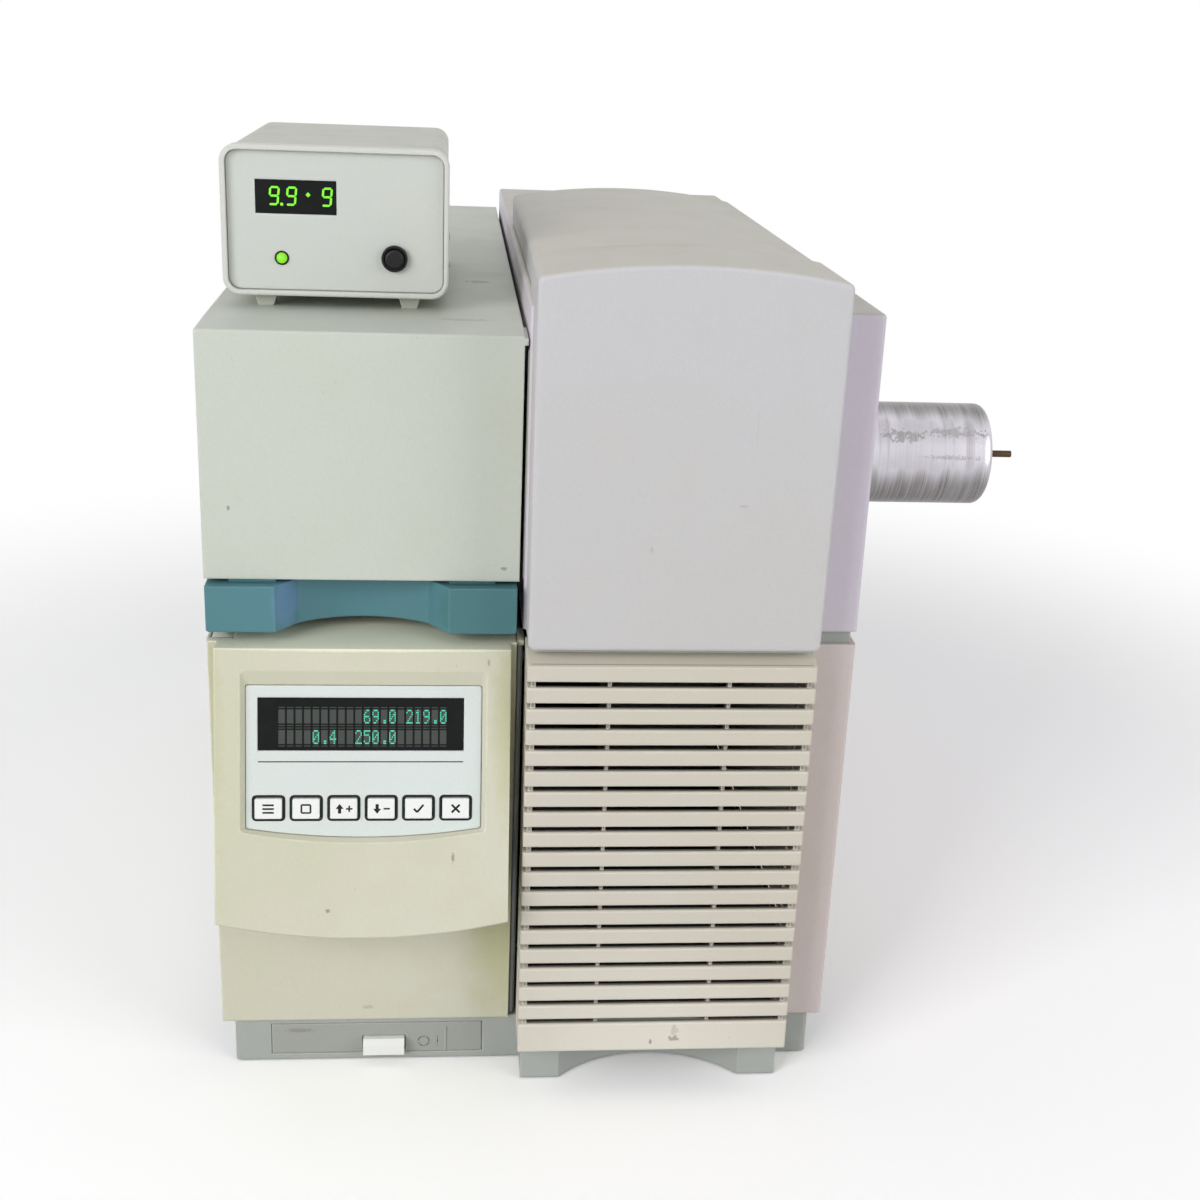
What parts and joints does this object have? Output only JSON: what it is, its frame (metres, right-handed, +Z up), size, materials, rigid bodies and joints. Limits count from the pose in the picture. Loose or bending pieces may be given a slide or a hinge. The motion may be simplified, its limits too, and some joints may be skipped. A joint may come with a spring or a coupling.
{
  "type": "bench mass spectrometer",
  "caption": "Bench mass-selective detector cabinet with louvre grille, teal handle, sloped display panel, side interface tube and a small vacuum-gauge controller on top",
  "frame": {"origin": "on the bench, below the middle of the whole object: the bottom centre of its box", "axes": "+X to the right as seen from the front, +Y to the back, +Z up"},
  "size_m": [0.4124, 0.5778, 0.4462],
  "materials": {
    "putty_plastic": "moulded, fine texture, yellowed and scuffed",
    "putty_paint": "powder coat",
    "pale_plastic": "moulded, fine texture",
    "rose_plastic": "moulded, fine texture, yellowed",
    "base_gray": "moulded",
    "foot_rubber": "moulded",
    "key_white": "moulded, semi-gloss",
    "black_plastic": "moulded",
    "zinc_sheet": "zinc plated sheet",
    "panel_white": "printed overlay",
    "dark_glass": "smoked filter",
    "board_green": "solder mask",
    "teal_plastic": "moulded, fine texture",
    "guard_chrome": "bright wire",
    "connector_steel": "nickel plated",
    "cast_aluminium": "machined",
    "turned_aluminium": "turned, scratched",
    "clear_glass": "polished",
    "rod_gold": "gold coated rods",
    "pump_paint": "cast, painted",
    "ferrule_brass": "heat tinted",
    "case_gray": "moulded",
    "rim_white": "moulded",
    "gauge_panel_white": "printed panel",
    "led_green": "lens"
  },
  "bodies": {
    "root": {"base_pan": "base_gray", "rubber_feet": "foot_rubber", "power_insert": "base_gray", "power_switch": "black_plastic", "chassis": "zinc_sheet", "mid_tray": "base_gray", "left_side_panel": "putty_paint", "lower_left_cover": "putty_plastic", "control_panel": "panel_white", "display_window": "dark_glass", "display_board": "board_green", "right_front_bezel": "pale_plastic", "arched_top_cover": "pale_plastic", "louvre_grille": "putty_plastic", "right_upper_housing": "pale_plastic", "right_lower_housing": "rose_plastic", "rear_panel": "zinc_sheet", "fan_frame": "black_plastic", "fan_guard": "guard_chrome", "power_inlet": "black_plastic", "rear_connectors": "connector_steel", "manifold": "cast_aluminium", "side_plate": "cast_aluminium", "side_plate_screws": "connector_steel", "window_ring": "cast_aluminium", "window_glass": "clear_glass", "quadrupole": "rod_gold", "ion_source": "connector_steel", "ion_detector": "connector_steel", "turbo_pump": "pump_paint", "foreline_fitting": "cast_aluminium", "gauge_tube": "clear_glass", "interface_tube": "turned_aluminium", "column_nut": "ferrule_brass", "main_board": "board_green", "power_supply": "zinc_sheet", "rf_coil_box": "zinc_sheet"},
    "analyzer_cover": {"analyzer_cover": "putty_plastic", "handle_bar": "teal_plastic", "gauge_case": "case_gray", "gauge_rim": "rim_white", "gauge_front_panel": "gauge_panel_white", "gauge_window": "dark_glass", "gauge_led": "led_green", "gauge_button_collar": "black_plastic", "gauge_feet": "case_gray", "gauge_board": "board_green", "gauge_rear_panel": "case_gray"},
    "gauge_button": {"gauge_button": "black_plastic"},
    "power_button": {"power_button": "key_white"},
    "fan_impeller": {"fan_impeller": "black_plastic"},
    "vent_knob": {"vent_knob": "black_plastic"},
    "key_1": {"key_1": "key_white"},
    "key_2": {"key_2": "key_white"},
    "key_3": {"key_3": "key_white"},
    "key_4": {"key_4": "key_white"},
    "key_5": {"key_5": "key_white"},
    "key_6": {"key_6": "key_white"}
  },
  "joints": [
    {"name": "key_1_press", "type": "slide", "parent": "root", "child": "key_1", "axis": [0, 0.9711, -0.2385], "range_m": [0, 0.001], "stiffness_N_per_m": 400, "springref_m": -0.0008},
    {"name": "key_2_press", "type": "slide", "parent": "root", "child": "key_2", "axis": [0, 0.9711, -0.2385], "range_m": [0, 0.001], "stiffness_N_per_m": 400, "springref_m": -0.0008},
    {"name": "key_3_press", "type": "slide", "parent": "root", "child": "key_3", "axis": [0, 0.9711, -0.2385], "range_m": [0, 0.001], "stiffness_N_per_m": 400, "springref_m": -0.0008},
    {"name": "key_4_press", "type": "slide", "parent": "root", "child": "key_4", "axis": [0, 0.9711, -0.2385], "range_m": [0, 0.001], "stiffness_N_per_m": 400, "springref_m": -0.0008},
    {"name": "key_5_press", "type": "slide", "parent": "root", "child": "key_5", "axis": [0, 0.9711, -0.2385], "range_m": [0, 0.001], "stiffness_N_per_m": 400, "springref_m": -0.0008},
    {"name": "key_6_press", "type": "slide", "parent": "root", "child": "key_6", "axis": [0, 0.9711, -0.2385], "range_m": [0, 0.001], "stiffness_N_per_m": 400, "springref_m": -0.0008},
    {"name": "power_press", "type": "slide", "parent": "root", "child": "power_button", "axis": [0, 1, 0], "range_m": [0, 0.0035], "stiffness_N_per_m": 400, "springref_m": -0.002},
    {"name": "gauge_press", "type": "slide", "parent": "analyzer_cover", "child": "gauge_button", "axis": [0, 1, 0], "range_m": [0, 0.0025], "stiffness_N_per_m": 400, "springref_m": -0.001},
    {"name": "cover_lift", "type": "slide", "parent": "root", "child": "analyzer_cover", "axis": [0, 0, 1], "range_m": [0, 0.16]},
    {"name": "fan_spin", "type": "hinge", "parent": "root", "child": "fan_impeller", "pos_m": [-0.00125, 0.24361, 0.16], "axis": [0, 1, 0], "continuous": true},
    {"name": "vent_turn", "type": "hinge", "parent": "root", "child": "vent_knob", "pos_m": [-0.14125, -0.16559, 0.262], "axis": [0, -1, 0], "range_deg": [0, 270]}
  ]
}
